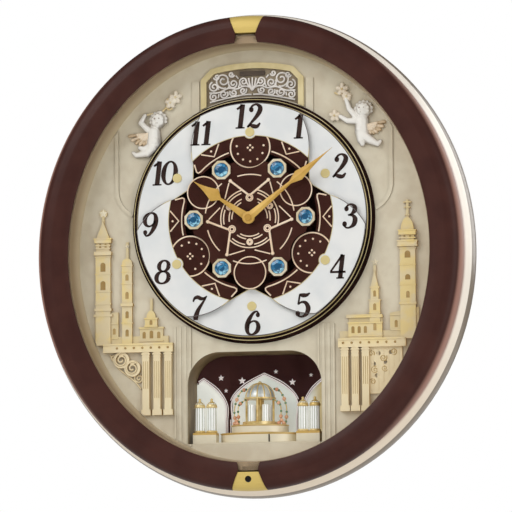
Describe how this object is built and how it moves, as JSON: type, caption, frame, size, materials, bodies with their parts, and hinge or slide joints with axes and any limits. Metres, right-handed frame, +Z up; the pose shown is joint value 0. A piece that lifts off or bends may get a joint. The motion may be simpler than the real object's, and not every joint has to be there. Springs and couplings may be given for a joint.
{
  "type": "musical wall clock",
  "caption": "Oval musical wall clock with a two-part brown bezel, a dial of petals that turn on geared spindles, and a mirrored alcove with a turning stage.",
  "frame": {"origin": "centre of the oval case, on the flat back that lies against the wall", "axes": "+Y out of the back into the wall, +Z up, +X to the right seen from the front; the dial faces -Y"},
  "size_m": [0.47, 0.1031, 0.5137],
  "materials": {
    "case_champagne": "pearl champagne lacquer",
    "bezel_brown": "polished dark brown lacquer",
    "gold_plate": "brushed gold plating",
    "dark_lens": "smoked lens",
    "clear_glass": "clear, polished",
    "reveal_taupe": "satin taupe metallic",
    "panel_champagne": "fine pearl champagne",
    "gold_moulding": "pale gold metallising",
    "figure_white": "porcelain white",
    "drum_black": "satin black",
    "gear_white": "natural acetal",
    "frame_black": "moulded black",
    "motor_steel": "plain can",
    "dial_brown": "printed dark brown",
    "jewel_blue": "faceted",
    "hand_gold": "polished gold",
    "mirror_silver": "silvered",
    "crystal_clear": "cut crystal",
    "rear_black": "textured black",
    "bare_steel": "zinc plated",
    "speaker_metal": "pressed basket",
    "board_green": "solder mask",
    "cell_jacket": "plain jacket",
    "control_black": "moulded black",
    "dial_white": "printed white",
    "spindle_gold": "gold cap on a moulded spindle"
  },
  "bodies": {
    "case": {"case_ring": "case_champagne", "bezel_left": "bezel_brown", "bezel_right": "bezel_brown", "top_plate": "gold_plate", "bottom_plate": "gold_plate", "light_sensor": "dark_lens", "front_glass": "clear_glass", "reveal_ring": "reveal_taupe", "dial_panel": "panel_champagne", "cartouche_frame": "gold_moulding", "cartouche_scrolls": "gold_moulding", "cherub_left": "figure_white", "cherub_right": "figure_white", "skyline_left": "gold_moulding", "skyline_right": "gold_moulding", "dial_base": "drum_black", "dial_rim": "gold_moulding", "gear_plate": "frame_black", "drive_motor": "motor_steel", "rosette": "dial_brown", "jewel_settings": "gold_moulding", "jewels": "jewel_blue", "movement": "frame_black", "alcove_shell": "frame_black", "arcade_screen": "dial_brown", "mirror_sheet": "mirror_silver", "stage": "gold_moulding", "side_bells": "crystal_clear", "stage_motor": "motor_steel", "rear_cover": "rear_black", "hanger_plate": "bare_steel", "case_screws": "bare_steel", "speaker": "speaker_metal", "circuit_board": "board_green", "batteries": "cell_jacket"},
    "minute_hand": {"minute_hand": "hand_gold", "set_knob": "control_black"},
    "hour_hand": {"hour_hand": "hand_gold"},
    "sun_gear": {"sun_gear": "gear_white"},
    "drive_pinion": {"drive_pinion": "gear_white"},
    "turntable": {"turntable": "gold_moulding", "crystals": "crystal_clear"},
    "demo_button": {"demo_button": "control_black"},
    "volume_knob": {"volume_knob": "control_black"},
    "battery_door": {"battery_door": "rear_black"},
    "petal_12": {"petal_12_back": "dial_brown", "petal_12_face": "dial_white", "petal_12_spindle": "spindle_gold"},
    "petal_02": {"petal_02_face": "dial_white", "petal_02_spindle": "spindle_gold"},
    "petal_04": {"petal_04_back": "dial_brown", "petal_04_face": "dial_white", "petal_04_spindle": "spindle_gold"},
    "petal_06": {"petal_06_face": "dial_white", "petal_06_spindle": "spindle_gold"},
    "petal_08": {"petal_08_back": "dial_brown", "petal_08_face": "dial_white", "petal_08_spindle": "spindle_gold"},
    "petal_10": {"petal_10_face": "dial_white", "petal_10_spindle": "spindle_gold"}
  },
  "joints": [
    {"name": "minute_hand_turn", "type": "hinge", "parent": "case", "child": "minute_hand", "pos_m": [0, 0, 0.036], "axis": [0, 1, 0], "continuous": true},
    {"name": "hour_hand_turn", "type": "hinge", "parent": "case", "child": "hour_hand", "pos_m": [0, 0, 0.036], "axis": [0, 1, 0], "continuous": true},
    {"name": "sun_gear_turn", "type": "hinge", "parent": "case", "child": "sun_gear", "pos_m": [0, 0, 0.036], "axis": [0, 1, 0], "continuous": true},
    {"name": "petal_12_turn", "type": "hinge", "parent": "case", "child": "petal_12", "pos_m": [0, 0, 0.128], "axis": [0, 1, 0], "continuous": true},
    {"name": "petal_02_turn", "type": "hinge", "parent": "case", "child": "petal_02", "pos_m": [0.07967, 0, 0.082], "axis": [0, 1, 0], "continuous": true},
    {"name": "petal_04_turn", "type": "hinge", "parent": "case", "child": "petal_04", "pos_m": [0.07967, 0, -0.01], "axis": [0, 1, 0], "continuous": true},
    {"name": "petal_06_turn", "type": "hinge", "parent": "case", "child": "petal_06", "pos_m": [0, 0, -0.056], "axis": [0, 1, 0], "continuous": true},
    {"name": "petal_08_turn", "type": "hinge", "parent": "case", "child": "petal_08", "pos_m": [-0.07967, 0, -0.01], "axis": [0, 1, 0], "continuous": true},
    {"name": "petal_10_turn", "type": "hinge", "parent": "case", "child": "petal_10", "pos_m": [-0.07967, 0, 0.082], "axis": [0, 1, 0], "continuous": true},
    {"name": "drive_pinion_turn", "type": "hinge", "parent": "case", "child": "drive_pinion", "pos_m": [0.042, 0, 0.10875], "axis": [0, 1, 0], "continuous": true},
    {"name": "turntable_turn", "type": "hinge", "parent": "case", "child": "turntable", "pos_m": [0, -0.0385, -0.199], "axis": [0, 0, 1], "continuous": true},
    {"name": "demo_button_press", "type": "slide", "parent": "case", "child": "demo_button", "axis": [0, -1, 0], "range_m": [0, 0.002], "stiffness_N_per_m": 300, "springref_m": -0.001},
    {"name": "volume_knob_turn", "type": "hinge", "parent": "case", "child": "volume_knob", "pos_m": [0.004, 0, -0.05], "axis": [0, 1, 0], "range_deg": [-135, 135]},
    {"name": "battery_door_lift", "type": "slide", "parent": "case", "child": "battery_door", "axis": [0, 1, 0], "range_m": [0, 0.04]}
  ],
  "couplings": [
    {"joint": "hour_hand_turn", "follows": "minute_hand_turn", "ratio": 0.083333},
    {"joint": "petal_12_turn", "follows": "sun_gear_turn", "ratio": -3.6},
    {"joint": "petal_02_turn", "follows": "sun_gear_turn", "ratio": -3.6},
    {"joint": "petal_04_turn", "follows": "sun_gear_turn", "ratio": -3.6},
    {"joint": "petal_06_turn", "follows": "sun_gear_turn", "ratio": -3.6},
    {"joint": "petal_08_turn", "follows": "sun_gear_turn", "ratio": -3.6},
    {"joint": "petal_10_turn", "follows": "sun_gear_turn", "ratio": -3.6},
    {"joint": "drive_pinion_turn", "follows": "sun_gear_turn", "ratio": -6}
  ]
}
